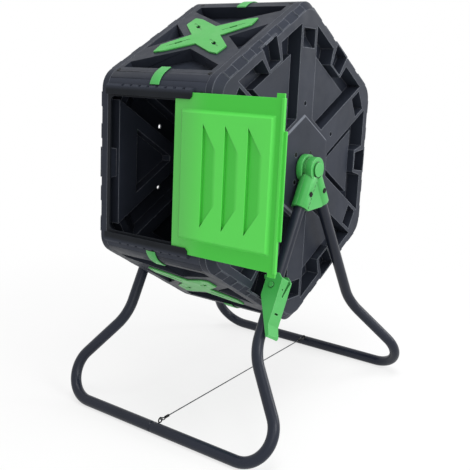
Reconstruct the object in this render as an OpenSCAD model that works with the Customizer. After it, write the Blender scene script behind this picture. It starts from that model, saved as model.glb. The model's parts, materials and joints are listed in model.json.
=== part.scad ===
// Tumbling compost bin: a six-sided moulded drum that turns on a stand of bent steel tube.
// Millimetres. Z is up from the ground, the drum's axle runs along X, and the sliding door
// is in the front face, which looks along -Y. The drum is shown with its door slid open.

/* [Drum] */
// Distance from the axle to the drum's unrounded corners
drum_r = 360; // [340:5:390]
// Width of the side panels, between the seams of the end panels
panel_w = 255; // [235:5:285]
// Thickness of the moulded walls
wall = 4; // [3:0.5:5]
// Radius of the drum's six long corners
corner_r = 45; // [35:5:55]
// How far an end panel stands out from its seam
end_depth = 30.5; // [28:0.5:36]
// Width of the chamfer round an end panel
edge_c = 14; // [10:1:16]
// How far the drum is turned from upright at rest
drum_tilt = -3.5; // [-10:0.5:4]

/* [Side panels] */
// Depth of the pockets in a side panel
pocket_depth = 48; // [20:2:56]
// Distance from the middle of a panel up to the large pockets
cross_v = 57; // [50:1:64]
// Distance from the middle of a panel across to the small pockets
cross_x = 60; // [54:1:70]
// Slope of the long edges of the large pockets
cross_slope = 28.3; // [24:0.1:32]
// Slope of the edges of the small pockets
side_slope = 42; // [36:0.5:44]
// Reach of the green cross plate's arms across the panel
plate_reach = 87; // [80:1:92]
// Reach of the cross plate's arms up and down the panel
plate_rise = 79; // [72:1:84]
// Thickness of the cross plate
plate_t = 3.5; // [2.5:0.5:5]
// Width of a corner clip along the drum
clip_w = 24; // [16:1:36]
// Thickness of a corner clip
clip_t = 2.5; // [1.5:0.5:4]
// Reach of a corner clip from the corner along its long side
clip_long = 42; // [30:1:50]
// Reach of a corner clip from the corner along its short side
clip_short = 13; // [9:1:14]

/* [End panels] */
// Width of the flat rim of an end panel
rim_w = 31; // [26:1:36]
// Width of the six raised spokes
spoke_w = 64; // [56:1:72]
// Depth of the troughs between the spokes
trough_depth = 34; // [28:1:34]
// Width of the troughs beside the spokes
trough_w = 20; // [14:1:24]
// Width of the troughs inside the rim
rim_trough_w = 46; // [36:1:54]
// How far the raised floor between the troughs lies below the rim
floor_drop = 12; // [6:1:18]
// Corner radius of the raised six-sided hub
hub_r = 118; // [100:1:124]
// Height of the raised hub
hub_rise = 3; // [2:0.5:4]
// Depth of the pockets in the rim and the spokes
lock_depth = 26; // [16:1:30]
// Diameter of the air holes in the spokes
air_hole_d = 10; // [6:1:14]
// Distance from the axle to the air holes
air_hole_r = 140; // [132:1:160]

/* [Door] */
// Room left on the front face above and below the door, together
door_room = 47; // [46:0.5:52]
// How far the door laps over its opening, above and below
door_lap = 16.5; // [12:0.5:18]
// Half the width of the door opening
opening_w = 120; // [110:1:121]
// Width of the door
door_w = 250; // [246:1:256]
// Thickness of the door
door_t = 4; // [3:0.5:5]
// Distance from the drum's middle to the left edge of the door, slid open
door_left = 60; // [20:1:66]
// Height of the door's raised field
field_t = 6; // [4:0.5:8]
// Thickness of the lips of the rails
lip_t = 3; // [2:0.5:4]
// How far the lips reach over the door
lip_w = 13; // [10:0.5:14]
// Right end of the rails, from the drum's middle
rail_end = 102; // [95:1:107]

/* [Stand] */
// Outside diameter of the leg tubes
tube_d = 25.4; // [22:0.2:28]
// Wall of the leg tubes
tube_wall = 1.6; // [1.2:0.1:2.2]
// Gap between the drum's end and the legs
leg_gap = 13.3; // [12:0.1:20]
// Lean of each leg loop from upright
leg_lean = 29.6; // [27:0.1:32]
// Distance from the axle down a leg to the ground tube
leg_drop = 636; // [610:1:680]
// Distance from the axle down a leg to where it kinks outward
kink_drop = 416; // [405:1:430]
// Outward angle of a leg below its kink
flare = 36.6; // [30:0.1:38]
// Bend radius of the kink
kink_r = 112; // [90:1:120]
// Bend radius of the foot
foot_r = 66; // [56:1:70]
// Length of the reduced tube end inside its neighbour
joint_len = 45; // [30:1:60]

/* [Hub] */
// Diameter of the axle
axle_d = 20; // [16:1:22]
// Wall of the axle's bush
bush_wall = 4; // [3:0.5:5]
// Radius of the bracket's inner barrel
barrel_r = 31; // [29:0.5:34]
// Radius of the bracket's sleeve round each leg
sleeve_r = 18.5; // [17.5:0.5:21]
// Distance from the axle to the lower edge of the bracket
skirt_r = 92; // [84:1:100]
// Diameter of the bracket bolts
bolt_d = 6; // [4:0.5:7]

/* [Brake lever] */
// How far the lever's pin lies inside the drum's edge, along the leg
pin_inset = 41; // [36:1:46]
// Diameter of the lever's pin
pin_d = 6; // [5:0.5:8]
// Wall of the lever
lever_wall = 3; // [2.5:0.5:3.5]
// Distance from the tube's middle to the inside of the lever's back
lever_back = 18.4; // [18:0.1:20]
// Distance from the tube's middle to the inside of the lever's rear cheek
lever_rear = 24; // [18:1:28]
// How far the lower end of the handle kicks outward
handle_kick = 8; // [4:1:12]

/* [Cable] */
// Diameter of the spreader cable
cable_d = 2.5; // [2:0.5:4]
// Radius of the eye that holds the cable
eye_r = 5.5; // [5:0.5:7]
// Wire of the eye
eye_wire = 3; // [2.5:0.5:3.5]

/* [Hidden] */

$fn = 48;
eps = 0.01;
plastic = [0.25, 0.27, 0.31];
lime = [0.28, 0.78, 0.2];
pale_lime = [0.44, 0.86, 0.42];
powder_coat = [0.2, 0.21, 0.25];
zinc = [0.72, 0.73, 0.75];
acetal = [0.85, 0.85, 0.82];
wire_grey = [0.2, 0.2, 0.2];

// Clearances
seam_gap = 0.4;
seat_gap = 0.15;
run_gap = 0.08;
slide_gap = 1;
side_gap = 0.4;

// Drum
apothem = drum_r * cos(30);
seam_x = panel_w / 2;
end_x = seam_x + end_depth;
inner_r = drum_r - wall / cos(30);
pocket_v = drum_r / 2 - corner_r * tan(30) - 12;
tongue_len = 15;
tongue_gap = pocket_v + wall + 1;
faces = 6;
front_face = 180;
top_front_face = 120;
top_rear_face = 60;
rear_face = 0;
bottom_rear_face = 300;
bottom_front_face = 240;
tab_count = 5;
tab_pitch = 66;
tab_len = 30;
tab_proud = 2.4;
edge_step = 0.3;

// Side panels
pocket_x = seam_x - 12;
side_pocket_x = seam_x - wall - 1;
side_draft = 0.27;
arm_slope = 38;
slot_len = 16;
slot_w = 8;
slot_at = 60;
groove_len = 52;
groove_w = 3;
groove_t = 1;
plate_notch_x = 38;
plate_notch_v = 39;
plate_tip_low = 47;
plate_tip_in = 60;
clip_gap = 0.2;

// End panels
bay_out = apothem - rim_w;
bay_in = hub_r * cos(30) + 6;
block_out_w = 38;
block_in_w = 27;
block_len = 36;
lock_w = 48;
lock_len = 40;
lock_out = apothem - 12;
spoke_lock_out = drum_r - 62;
ramp_top = 6;
boss_r = 46;
boss_len = 20;

// Door, its plane and its rails
rail_w = 8;
door_h = drum_r - door_room;
opening_h = door_h / 2 - door_lap;
door_y = apothem + slide_gap;
lip_y = door_y + door_t + slide_gap / 2;
rail_groove = door_h / 2 + side_gap;
rail_in = rail_groove - lip_w;
rail_out = rail_groove + rail_w;
rail_x0 = -seam_x + 2;
field_left = 17;
field_right = 233;
field_v = 126;
field_slope = 6;
wedge_count = 3;
wedge_pitch = 52;
wedge_w = 33;
wedge_v = 98;
grip_v0 = -96;
grip_v1 = 100;
grip_w = 6;
tab_w = 17;
tab_rise = 8;
rail_screw_in = 6;
notch_count = 8;
notch_pitch = 23;

// Stand
leg_x = end_x + leg_gap + tube_d / 2;
tube_r = tube_d / 2;
bore_r = tube_r - tube_wall;
axle_h = leg_drop * cos(leg_lean) + tube_r;
leg_top = 46;
kink_t = kink_r * tan(flare / 2);
foot_cx = leg_x + (leg_drop - kink_drop) * tan(flare) - foot_r / tan((90 - flare) / 2);
foot_cz = -(leg_drop - foot_r);
joint_x = -9;
neck_len = 5;
lap = 0.2;
bend_ease = 0.1;

// Hub
bush_r = axle_d / 2 + run_gap + bush_wall;
flange_t = 2.4;
hub_face = end_x + hub_rise;
bracket_in = hub_face + flange_t + 3 * seat_gap;
bracket_out = leg_x + sleeve_r - 3;
bracket_flat = leg_x + 0.72 * sleeve_r;
dash_count = 6;
dash_pitch = 10;
dash_len = 6;
dash_top = 34;
dash_y = 14.5;
dash_t = 1.5;
groove_r = barrel_r - 7;
cap_r = 16;
cap_t = 4;
axle_end = bracket_out - 5;
axle_plate = 84;
axle_plate_t = 5;
axle_screw_d = 5;
axle_screw_at = 30;
axle_screw_sink = 3.5;
bolt_drop = 58;
bolt_head_d = 11;
bolt_head_t = 4.5;
nut_t = 5;
panel_screw_d = 4;
panel_screw_v = pocket_v + 12;

// Lever, its cheeks measured from its pin
pin_drop = apothem - pin_inset;
lever_front = tube_r + 0.9;
lever_up = 28;
lever_down = 109;
lever_round = 10;
cheek_in = 18;
cheek_knee = 26;
handle_start = 82;
nose_reach = 24;
nose_up = 18.5;
nose_len = 9;
nose_w = 8.5;

// Cable
eye_tilt = 45;
eye_out = tube_r + eye_r + eye_wire / 2 + 0.3;
cable_z = tube_r + eye_out * cos(eye_tilt);
ground_y = leg_drop * sin(leg_lean);
loop_r = 5;
loop_y = ground_y - eye_out * sin(eye_tilt) - (eye_r - eye_wire / 2 - cable_d / 2 - 0.2) - loop_r;
ferrule_len = 12;

function rise_of(a) = [cos(a), sin(a)];
function toward(p, q) = (q - p) / norm(q - p);

// A six-sided outline with round corners, its corners at radius r and its top corner up
module hex2d(r, round_r) {
    cut = round_r * tan(30);
    corners = [for (k = [0 : faces - 1]) r * rise_of(30 + 60 * k)];
    polygon([
        for (k = [0 : faces - 1], s = [-1, 1])
            corners[k] + cut * toward(corners[k], corners[(k + s + faces) % faces])
    ]);
    for (k = [0 : faces - 1])
        translate((r - round_r / cos(30)) * rise_of(30 + 60 * k)) circle(round_r, $fn = 48);
}

// The same outline as a single polygon, for tapered pieces
module hex_polygon(r, round_r) {
    polygon([
        for (k = [0 : faces - 1], a = [0 : 7.5 : 60])
            (r - round_r / cos(30)) * rise_of(30 + 60 * k) + round_r * rise_of(60 * k + a)
    ]);
}

// Extrudes an outline given in Y and Z along X, from x0 to x1
module along_x(x0, x1, end_scale = 1) {
    translate([x0, 0, 0]) rotate([90, 0, 90])
        linear_extrude(x1 - x0, scale = end_scale, slices = 1) children();
}

// Extrudes an outline given in X and Z into the front face, from depth d0 to d1
module into_front(d0, d1) {
    translate([0, -apothem + d1, 0]) rotate([90, 0, 0]) linear_extrude(d1 - d0) children();
}

// Turns a piece made for the drum's front face to the face at angle a
module at_face(a) {
    rotate([a - front_face, 0, 0]) children();
}

// Places a piece made round the axle's middle on the stand, as the drum hangs at rest
module in_drum() {
    translate([0, 0, axle_h]) rotate([drum_tilt, 0, 0]) children();
}

module at_axle() {
    translate([0, 0, axle_h]) children();
}

// The frame of a leg loop: X across, -Z down the leg. side is -1 in front and 1 behind
module in_leg(side) {
    at_axle() rotate([side * leg_lean, 0, 0]) children();
}

// One sixth of the drum's wall, between the middles of two long corners
module panel_wall() {
    far = 2 * drum_r;
    along_x(-seam_x + seam_gap / 2, seam_x - seam_gap / 2) intersection() {
        difference() {
            hex2d(drum_r, corner_r);
            hex2d(inner_r, corner_r - wall);
        }
        translate([-seam_gap, 0]) polygon([[0, 0], far * rise_of(150), far * rise_of(210)]);
    }
}

// The outline of a large pocket, above the cross, grown by g
module big_pocket(g) {
    side = pocket_x + g;
    apex = cross_v - g / cos(cross_slope);
    shoulder = min(apex + side * tan(cross_slope), pocket_v - 6);
    top = pocket_v + g;
    polygon([[0, apex], [side, shoulder], [side, top], [-side, top], [-side, shoulder]]);
}

// The outline of a small pocket, beside the cross, grown by g
module small_pocket(g) {
    side = side_pocket_x + g;
    apex = cross_x - g / sin(side_slope);
    half = (side - apex) * tan(side_slope);
    polygon([[apex, 0], [side, -half], [side, half]]);
}

module pockets(g) {
    for (s = [0, 1]) {
        mirror([0, s]) big_pocket(g);
        mirror([s, 0]) small_pocket(g);
    }
}

// Places for the screws at one side of a panel
module at_panel_screws(s) {
    for (v = [-panel_screw_v, panel_screw_v])
        translate([s * (seam_x - tongue_len / 2), -apothem, v]) rotate([-90, 0, 0]) children();
}

module panel_screw_holes() {
    for (s = [-1, 1])
        at_panel_screws(s) {
            translate([0, 0, -1]) cylinder(d = panel_screw_d + 0.3, h = wall + 2);
            translate([0, 0, -1]) cylinder(d = 2 * panel_screw_d + 1, h = 2.8);
        }
}

// The space that pockets may take up, its sides drawn in toward the inside of the drum
module pocket_draft(g) {
    side = side_pocket_x + g;
    deep = pocket_depth + 2 * wall;
    rotate([0, 0, 180]) translate([0, apothem, -drum_r / 2]) linear_extrude(drum_r)
        polygon([[-side, 2], [side, 2], [side, 0], [side - side_draft * deep, -deep],
            [side_draft * deep - side, -deep], [-side, 0]]);
}

module cross_panel(a) {
    color(plastic) in_drum() at_face(a) difference() {
        union() {
            panel_wall();
            intersection() {
                into_front(wall / 2, pocket_depth + wall) pockets(wall);
                pocket_draft(wall);
            }
        }
        intersection() {
            into_front(-1, pocket_depth) pockets(0);
            pocket_draft(0);
        }
        panel_screw_holes();
        for (i = [-1, 1], j = [-1, 1])
            into_front(-1, wall + 1) plate_slot(i, j, slot_len - 6, slot_w - 4);
    }
}

// A slot in one arm of the cross plate; i and j are the signs of the arm's side and height
module plate_slot(i, j, len, w) {
    rotate(i * j * arm_slope) translate([i * slot_at, 0]) square([len, w], center = true);
}

// The cross plate's outline: four arms, widest at the root, with blunt points
module plate2d() {
    arm = [[plate_reach, plate_tip_low], [plate_reach - 3, plate_rise],
        [plate_tip_in, plate_rise - 6]];
    polygon([
        [plate_notch_x, 0], for (k = [0, 1, 2]) arm[k],
        [0, plate_notch_v], for (k = [2, 1, 0]) [-arm[k].x, arm[k].y],
        [-plate_notch_x, 0], for (k = [0, 1, 2]) -arm[k],
        [0, -plate_notch_v], for (k = [2, 1, 0]) [arm[k].x, -arm[k].y]
    ]);
}

module cross_plate(a) {
    color(pale_lime) in_drum() at_face(a) difference() {
        into_front(-plate_t - seat_gap, -seat_gap) difference() {
            plate2d();
            for (i = [-1, 1], j = [-1, 1])
                plate_slot(i, j, slot_len, slot_w);
        }
        into_front(-2 * plate_t, -plate_t - seat_gap + groove_t)
            for (i = [-1, 1], j = [-1, 1])
                plate_slot(i, j, groove_len, groove_w);
    }
}

// Clips that hold neighbouring panels together at the middle of each long corner
module corner_clips() {
    grow = clip_t / cos(30);
    base = clip_gap / cos(30);
    deep = clip_long;
    color(lime) in_drum() for (k = [0 : faces - 1])
        rotate([60 * k, 0, 0]) along_x(-clip_w / 2, clip_w / 2) intersection() {
            difference() {
                hex2d(drum_r + base + grow, corner_r + clip_gap + clip_t);
                hex2d(drum_r + base, corner_r + clip_gap);
            }
            mirror([1 - k % 2, 0]) translate([-clip_short * cos(30), drum_r - deep])
                square([(clip_short + clip_long) * cos(30), 2 * deep]);
        }
}

// The outline between two spokes, from n0 to n1 along the middle of a face, spokes grown by g
module bay2d(n0, n1, g) {
    inner = n0 * tan(30) - (spoke_w / 2 + g) / cos(30);
    outer = n1 * tan(30) - (spoke_w / 2 + g) / cos(30);
    polygon([[n0, -inner], [n1, -outer], [n1, outer], [n0, inner]]);
}

module rim_block2d() {
    polygon([[bay_out + wall, -block_out_w], [bay_out + wall, block_out_w],
        [bay_out - block_len, block_in_w], [bay_out - block_len, -block_in_w]]);
}

// The pocket in the rim at the middle of a face, grown by g
module rim_lock2d(g) {
    tip = bay_out - block_len + wall;
    outer = lock_w / 2 + 4 + g;
    inner = block_in_w - 6 + g;
    polygon([[lock_out + g, -outer], [lock_out + g, outer], [tip - g, inner], [tip - g, -inner]]);
}

// The pocket in a spoke, grown by g, its floor rising toward the hub, cut out to x1
module spoke_lock(g, x1) {
    outer = spoke_lock_out + g;
    inner = spoke_lock_out - lock_len - g;
    rotate([90, 0, 0]) linear_extrude(lock_w + 2 * g, center = true) polygon([
        [end_x - lock_depth - g, outer], [x1, outer], [x1, inner], [end_x - ramp_top - g, inner],
        [end_x - lock_depth - g, outer - 0.4 * lock_len]
    ]);
}

// The outer form of an end panel, from its seam to its outer face
module end_envelope() {
    along_x(seam_x, end_x - edge_c) hex2d(drum_r, corner_r, $fn = 24);
    along_x(end_x - edge_c - eps, end_x, (apothem - edge_c) / apothem)
        hex_polygon(drum_r - edge_step, corner_r);
}

// Raised tabs on the chamfer, in rows along the six sides
module edge_tabs() {
    low = end_x - edge_c;
    n = apothem - edge_step / 2;
    inner = apothem - edge_c;
    for (k = [0 : faces - 1], i = [0 : tab_count - 1])
        at_face(60 * k) translate([0, 0, tab_pitch * (i - (tab_count - 1) / 2) - tab_len / 2])
            linear_extrude(tab_len) polygon([
                [low - 1, -n], [low + tab_proud, -n], [end_x - edge_step, -inner - tab_proud],
                [end_x - edge_step, -inner + 1], [low - 1, -inner]
            ]);
}

// The walls of one bay between two spokes: a trough round a raised floor, and a block at the rim
module bay_cup() {
    back = end_x - trough_depth - wall;
    floor_out = bay_out - rim_trough_w;
    difference() {
        along_x(back, end_x) bay2d(bay_in - wall, bay_out + wall, -wall);
        along_x(end_x - trough_depth, end_x + 1) difference() {
            bay2d(bay_in, bay_out, 0);
            bay2d(bay_in - 1, floor_out, trough_w);
            rim_block2d();
        }
        along_x(end_x - floor_drop, end_x + 1) difference() {
            bay2d(bay_in, bay_out, 0);
            rim_block2d();
        }
        along_x(back - 1, end_x - floor_drop - wall)
            bay2d(bay_in + 14, floor_out - wall, trough_w + wall);
    }
}

// A closed pocket behind the outer face
module lock_cup() {
    along_x(end_x - lock_depth - wall, end_x - wall / 2) children();
}

// The hollow inside an end panel, which follows its chamfer one wall further in
module end_cavity() {
    bend = end_x - edge_c - wall * tan(22.5);
    narrow = (apothem - edge_c - wall * tan(22.5)) / (apothem - wall);
    along_x(seam_x - 1, bend) hex2d(inner_r, corner_r - wall, $fn = 24);
    along_x(bend - eps, end_x - wall, narrow) hex_polygon(inner_r - edge_step, corner_r - wall);
}

module end_skin() {
    difference() {
        end_envelope();
        end_cavity();
        for (k = [0 : faces - 1])
            along_x(end_x - 2 * wall, end_x + 1) rotate(60 * k) bay2d(bay_in, bay_out, 0);
    }
    edge_tabs();
}

// The corner tongues of an end panel, which go inside the side panels and take their screws
module end_tongue() {
    tongue_r = inner_r - 2 * seat_gap;
    difference() {
        union() {
            along_x(seam_x + 1, seam_x + wall) hex2d(inner_r + 2, corner_r - 2, $fn = 24);
            along_x(seam_x - tongue_len, seam_x + 2) hex2d(tongue_r, corner_r - wall);
        }
        along_x(seam_x - tongue_len - 1, seam_x + wall + 1) hex2d(tongue_r - wall, corner_r - 2 * wall);
        for (k = [0 : faces - 1])
            at_face(60 * k) {
                at_panel_screws(1) cylinder(d = panel_screw_d, h = 3 * wall);
                translate([seam_x - tongue_len - 1, -apothem, -tongue_gap])
                    cube([tongue_len, apothem / 2, 2 * tongue_gap]);
            }
    }
}

module end_hub() {
    difference() {
        union() {
            along_x(end_x - wall, hub_face, (hub_r - 2 * hub_rise) / (hub_r + wall))
                hex_polygon(hub_r + wall, 1);
            about_x(end_x - boss_len, hub_face - hub_rise, boss_r);
        }
        about_x(0, 2 * end_x, axle_d / 2 + seat_gap);
        at_axle_screws(end_x - boss_len - 1)
            cylinder(d = axle_screw_d + 2 * seat_gap, h = 2 * boss_len);
        at_axle_screws(hub_face - axle_screw_sink) cylinder(d = 2 * axle_screw_d + 1, h = boss_len);
    }
}

module end_panel() {
    difference() {
        union() {
            end_skin();
            end_tongue();
            for (k = [0 : faces - 1]) {
                rotate([60 * k, 0, 0]) bay_cup();
                lock_cup() rotate(60 * k) rim_lock2d(wall);
                rotate([60 * k, 0, 0]) spoke_lock(wall, end_x - wall / 2);
            }
        }
        for (k = [0 : faces - 1]) {
            along_x(end_x - lock_depth, end_x + 1) rotate(60 * k) rim_lock2d(0);
            rotate([60 * k, 0, 0]) spoke_lock(0, end_x + 1);
            rotate([30 + 60 * k, 0, 0]) translate([end_x - 2 * wall, air_hole_r, 0])
                rotate([0, 90, 0]) cylinder(d = air_hole_d, h = 3 * wall);
        }
        about_x(0, 2 * end_x, boss_r + 10);
    }
    end_hub();
}

module at_axle_screws(x) {
    for (i = [-1, 1], j = [-1, 1])
        translate([x, i * axle_screw_at, j * axle_screw_at]) rotate([0, 90, 0]) children();
}

// Stub axle with a square plate that is screwed to the inside of an end panel
module axle() {
    plate_x = end_x - boss_len - seat_gap;
    difference() {
        union() {
            translate([plate_x - axle_plate_t, 0, 0]) rotate([0, 90, 0])
                cylinder(d = axle_d, h = axle_end - plate_x + axle_plate_t);
            translate([plate_x - axle_plate_t / 2, 0, 0])
                cube([axle_plate_t, axle_plate, axle_plate], center = true);
        }
        at_axle_screws(plate_x - axle_plate_t - 1) cylinder(d = axle_screw_d - 0.4, h = axle_plate_t + 2);
    }
}

module axle_screws() {
    shank = boss_len + hub_rise + axle_plate_t - axle_screw_sink;
    at_axle_screws(hub_face - axle_screw_sink + seat_gap) {
        cylinder(d = 2 * axle_screw_d, h = 3);
        translate([0, 0, -shank + 1]) cylinder(d = axle_screw_d - 0.5, h = shank);
    }
}

module panel_screws(s) {
    for (k = [0 : faces - 1])
        at_face(60 * k) at_panel_screws(s) {
            translate([0, 0, 0.1]) cylinder(d = 2 * panel_screw_d, h = 1.6);
            translate([0, 0, 0.1]) cylinder(d = panel_screw_d - 0.1, h = 2 * wall);
        }
}

module opening2d() {
    r = 12;
    square([2 * opening_w, 2 * (opening_h - r)], center = true);
    square([2 * (opening_w - r), 2 * opening_h], center = true);
    for (i = [-1, 1], j = [-1, 1])
        translate([i * (opening_w - r), j * (opening_h - r)]) circle(r);
}

module front_panel() {
    color(plastic) in_drum() difference() {
        panel_wall();
        into_front(-1, wall + 1) opening2d();
        panel_screw_holes();
        for (j = [-1, 1])
            at_rail_screws(j) {
                cylinder(d = panel_screw_d + 0.3, h = 3 * wall, center = true);
                translate([0, 0, -3 * wall]) cylinder(d = 2 * panel_screw_d + 1, h = 2 * wall);
            }
    }
}

module at_rail_screws(j) {
    for (x = [rail_x0 + 20, rail_end - 20])
        translate([x, -apothem, j * (rail_groove + 4)]) rotate([90, 0, 0]) children();
}

// The upper rail in profile, an edge that the door slides behind; j is -1 for the lower one
module door_rail(j) {
    color(plastic) in_drum() difference() {
        along_x(rail_x0, rail_end) mirror([0, j < 0 ? 1 : 0]) polygon([
            [-apothem + wall, rail_groove], [-lip_y, rail_groove], [-lip_y, rail_in],
            [-lip_y - lip_t, rail_in], [-lip_y - lip_t, rail_out - 4], [-lip_y, rail_out],
            [-apothem + wall, rail_out]
        ]);
        along_x(rail_x0 - 1, rail_end + 1)
            hex2d(drum_r + seat_gap / cos(30), corner_r + seat_gap);
        at_rail_screws(j) cylinder(d = panel_screw_d + 0.3, h = 2 * rail_screw_in, center = true);
        for (i = [0 : notch_count - 1])
            translate([rail_x0 + 46 + notch_pitch * i, -lip_y - lip_t / 2, j * rail_out])
                cube([7, 4 * lip_t, 7], center = true);
        translate([rail_end, -lip_y, j * rail_in]) rotate([0, 45, 0])
            cube([8, 6 * lip_t, 8], center = true);
    }
}

module rail_screws() {
    color(zinc) in_drum() for (j = [-1, 1])
        at_rail_screws(j) {
            translate([0, 0, -wall - 2]) cylinder(d = 2 * panel_screw_d, h = 1.9);
            translate([0, 0, -wall - 1]) cylinder(d = panel_screw_d - 0.1, h = wall + rail_screw_in);
        }
}

// A tapered slab on the door's outer face, seen from the front
module field_slab() {
    w = field_right - field_left;
    translate([door_left + (field_left + field_right) / 2, -door_y - door_t + eps, 0])
        rotate([90, 0, 0])
            linear_extrude(
                field_t, scale = [1 - 2 * field_slope / w, 1 - field_slope / field_v], slices = 1
            )
                square([w, 2 * field_v], center = true);
}

// One wedge cut: deep at its left edge, level at its right, with slanted ends
module field_wedge() {
    intersection() {
        translate([0, 0, -wedge_v]) linear_extrude(2 * wedge_v)
            polygon([[0, field_t - 1], [0, -1], [wedge_w + 2, -1], [wedge_w, 0]]);
        rotate([90, 0, 0]) translate([0, 0, -2 * field_t]) linear_extrude(4 * field_t)
            polygon([[0, -wedge_v], [wedge_w, -wedge_v + 48], [wedge_w, wedge_v - 48], [0, wedge_v]]);
    }
}

module sliding_door() {
    right = door_left + door_w;
    face_y = -door_y - door_t - field_t;
    color(lime) in_drum() difference() {
        union() {
            translate([door_left, -door_y - door_t, -door_h / 2]) cube([door_w, door_t, door_h]);
            field_slab();
            translate([right - tab_w - 2, -door_y - door_t, -door_h / 2 - tab_rise])
                cube([tab_w, door_t, door_h + 2 * tab_rise]);
            translate([right - eps, -door_y - door_t, grip_v0]) rotate([90, 0, 90])
                linear_extrude(grip_w) square([door_t, grip_v1 - grip_v0]);
            translate([right - 6, -door_y - door_t - 3, -door_h / 2]) cube([6, 4, door_h]);
        }
        for (i = [0 : wedge_count - 1])
            translate([door_left + 74 + wedge_pitch * i, face_y, 2]) field_wedge();
    }
}

// The right half of a leg loop down to x_end, as a rod of radius r that is longer by grow at each
// end. Its straight runs lap into the bends, which are a hair thinner
module tube_path(r, x_end, grow) {
    top = -leg_top + grow;
    z1 = -(kink_drop - kink_t);
    kink_cx = leg_x + kink_r;
    start = [kink_cx - kink_r * cos(flare), z1 - kink_r * sin(flare)];
    end = [foot_cx + foot_r * cos(flare), foot_cz + foot_r * sin(flare)];
    translate([leg_x, 0, z1 - lap]) cylinder(r = r, h = top - z1 + lap);
    translate([kink_cx, 0, z1]) rotate([90, 0, 0]) rotate(180)
        rotate_extrude(angle = flare, $fn = 96) translate([kink_r, 0]) circle(r - bend_ease);
    translate([start.x, 0, start.y]) rotate([0, 180 - flare, 0]) translate([0, 0, -lap])
        cylinder(r = r, h = norm(end - start) + 2 * lap);
    translate([foot_cx, 0, foot_cz]) rotate([90, 0, 0]) rotate(-90)
        rotate_extrude(angle = 90 + flare, $fn = 96) translate([foot_r, 0]) circle(r - bend_ease);
    translate([x_end - grow, 0, -leg_drop]) rotate([0, 90, 0])
        cylinder(r = r, h = foot_cx - x_end + grow + lap);
}

module bolt_hole() {
    translate([leg_x - tube_d, 0, -bolt_drop]) rotate([0, 90, 0])
        cylinder(d = bolt_d + 2 * seat_gap, h = 2 * tube_d);
}

// The right half of a leg loop, which takes the reduced end of the left half
module right_tube(side) {
    color(powder_coat) in_leg(side) difference() {
        tube_path(tube_r, joint_x, 0);
        tube_path(bore_r, joint_x, 1);
        bolt_hole();
        rotate([-side * leg_lean, 0, 0]) translate([0, 0, -axle_h]) eye_bore(side);
        if (side < 0) pin_bore();
    }
}

// The left half of a leg loop, with a neck and a reduced end at the middle of the ground tube
module left_tube(side) {
    inner = bore_r - seat_gap;
    neck_x = joint_x - seat_gap;
    color(powder_coat) in_leg(side) difference() {
        union() {
            mirror([1, 0, 0]) tube_path(tube_r, neck_len - neck_x, 0);
            translate([neck_x - neck_len, 0, -leg_drop]) rotate([0, 90, 0])
                cylinder(r1 = tube_r, r2 = inner, h = neck_len);
            translate([neck_x, 0, -leg_drop]) rotate([0, 90, 0]) cylinder(r = inner, h = joint_len);
        }
        mirror([1, 0, 0]) tube_path(bore_r, neck_len - neck_x + 1, 1);
        translate([neck_x - neck_len - 1, 0, -leg_drop]) rotate([0, 90, 0])
            cylinder(r = inner - tube_wall, h = joint_len + neck_len + 2);
        mirror([1, 0, 0]) bolt_hole();
        rotate([-side * leg_lean, 0, 0]) translate([0, 0, -axle_h]) eye_bore(side);
    }
}

// The middle of a ground tube, turned so that Z points up and inward at its cable eye
module at_eye(side) {
    translate([0, side * ground_y, tube_r]) rotate([side * eye_tilt, 0, 0]) children();
}

module eye_bore(side) {
    at_eye(side) cylinder(d = eye_wire + 2 * seat_gap, h = tube_d);
}

module pin_bore() {
    translate([leg_x, 0, -pin_drop]) rotate([90, 0, 0])
        cylinder(d = pin_d + 2 * seat_gap, h = 2 * tube_d, center = true);
}

module about_x(x0, x1, r) {
    translate([x0, 0, 0]) rotate([0, 90, 0]) cylinder(r = r, h = x1 - x0);
}

// The whole hub bracket of the right side, before it is split
module bracket_body() {
    intersection() {
        union() {
            for (side = [-1, 1])
                rotate([side * leg_lean, 0, 0]) translate([leg_x, 0, -skirt_r - 2])
                    cylinder(r = sleeve_r, h = skirt_r - cap_r - 1);
            along_x(2 * leg_x - bracket_flat, bracket_flat)
                polygon([[0, 0], (skirt_r + 9) * [-sin(leg_lean), -cos(leg_lean)],
                    (skirt_r + 9) * [sin(leg_lean), -cos(leg_lean)]]);
        }
        about_x(bracket_in, bracket_out + 8, skirt_r);
    }
    about_x(bracket_in, leg_x - 7, barrel_r);
    about_x(leg_x - 7 - eps, leg_x + 1, groove_r);
    about_x(leg_x - 1, bracket_out, barrel_r - 4);
}

module bracket_bores() {
    for (side = [-1, 1])
        rotate([side * leg_lean, 0, 0]) {
            translate([leg_x, 0, -2 * skirt_r])
                cylinder(r = tube_r + seat_gap, h = 2 * skirt_r - leg_top + 1);
            translate([leg_x - tube_d, 0, -bolt_drop]) rotate([0, 90, 0])
                cylinder(d = bolt_d + 2 * seat_gap, h = 2 * tube_d);
            translate([leg_x + sleeve_r - bolt_head_t + 0.5, 0, -bolt_drop]) rotate([0, 90, 0])
                cylinder(d = bolt_head_d + 1, h = tube_d);
            translate([leg_x - sleeve_r - tube_d, 0, -bolt_drop]) rotate([0, 90, 0])
                cylinder(d = 2 * bolt_d + 1, h = tube_d + nut_t - 1);
        }
    about_x(0, 2 * leg_x, bush_r + seat_gap);
}

module inner_bracket() {
    difference() {
        intersection() {
            bracket_body();
            translate([leg_x - 2 * drum_r - seat_gap, -drum_r, -drum_r]) cube(2 * drum_r);
        }
        bracket_bores();
    }
}

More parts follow.
